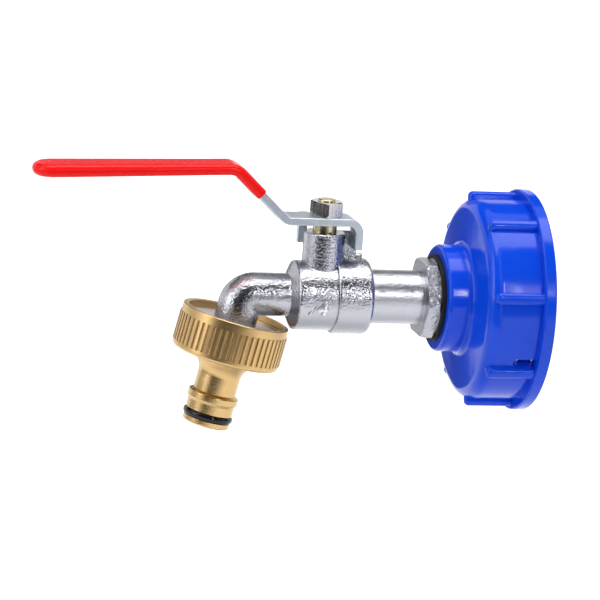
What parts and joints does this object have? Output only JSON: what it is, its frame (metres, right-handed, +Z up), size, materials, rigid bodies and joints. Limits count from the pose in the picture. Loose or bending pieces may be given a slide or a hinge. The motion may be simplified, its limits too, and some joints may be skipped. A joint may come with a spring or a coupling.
{
  "type": "tap",
  "caption": "Lever ball tap screwed into a ribbed tank adapter cap, with a tilted outlet and a knurled click-on hose connector.",
  "frame": {"origin": "centre of the adapter's open mouth, on the tank thread's axis", "axes": "+X out of the mouth towards the tank, +Z up, the open lever and the spout towards -X"},
  "size_m": [0.1698, 0.074, 0.09],
  "materials": {
    "blue_plastic": "glossy moulded",
    "black_rubber": "smooth",
    "chrome_plate": "plated rough casting",
    "seat_plastic": "smooth",
    "brass": "satin turned",
    "zinc_steel": "satin zinc plate",
    "red_vinyl": "glossy dipped",
    "nickel_steel": "bright nickel plate"
  },
  "bodies": {
    "tap": {"tank_adapter": "blue_plastic", "adapter_gasket": "black_rubber", "inlet_washer": "black_rubber", "inlet_tail": "chrome_plate", "valve_body": "chrome_plate", "seat_inlet": "seat_plastic", "seat_outlet": "seat_plastic", "stem_thrust_washer": "seat_plastic"},
    "lever_and_ball": {"lever": "zinc_steel", "lever_grip": "red_vinyl", "lever_nut": "nickel_steel", "stem": "brass", "ball": "chrome_plate", "stem_o_ring_upper": "black_rubber", "stem_o_ring_lower": "black_rubber"},
    "connector_seal": {"connector_washer": "black_rubber"},
    "connector": {"hose_connector": "brass", "spigot_o_ring": "black_rubber"}
  },
  "joints": [
    {"name": "lever_turn", "type": "hinge", "parent": "tap", "child": "lever_and_ball", "pos_m": [-0.0707, 0, 0], "axis": [0, 0, 1], "range_deg": [-90, 0]},
    {"name": "connector_travel", "type": "slide", "parent": "tap", "child": "connector_seal", "axis": [-0.2113, 0, -0.9774], "range_m": [0, 0.007]},
    {"name": "connector_spin", "type": "hinge", "parent": "connector_seal", "child": "connector", "pos_m": [-0.1008, 0, -0.01759], "axis": [-0.2113, 0, -0.9774], "range_deg": [0, 1080]}
  ],
  "couplings": [
    {"joint": "connector_travel", "follows": "connector_spin", "m_per_rad": 0.00036749}
  ]
}
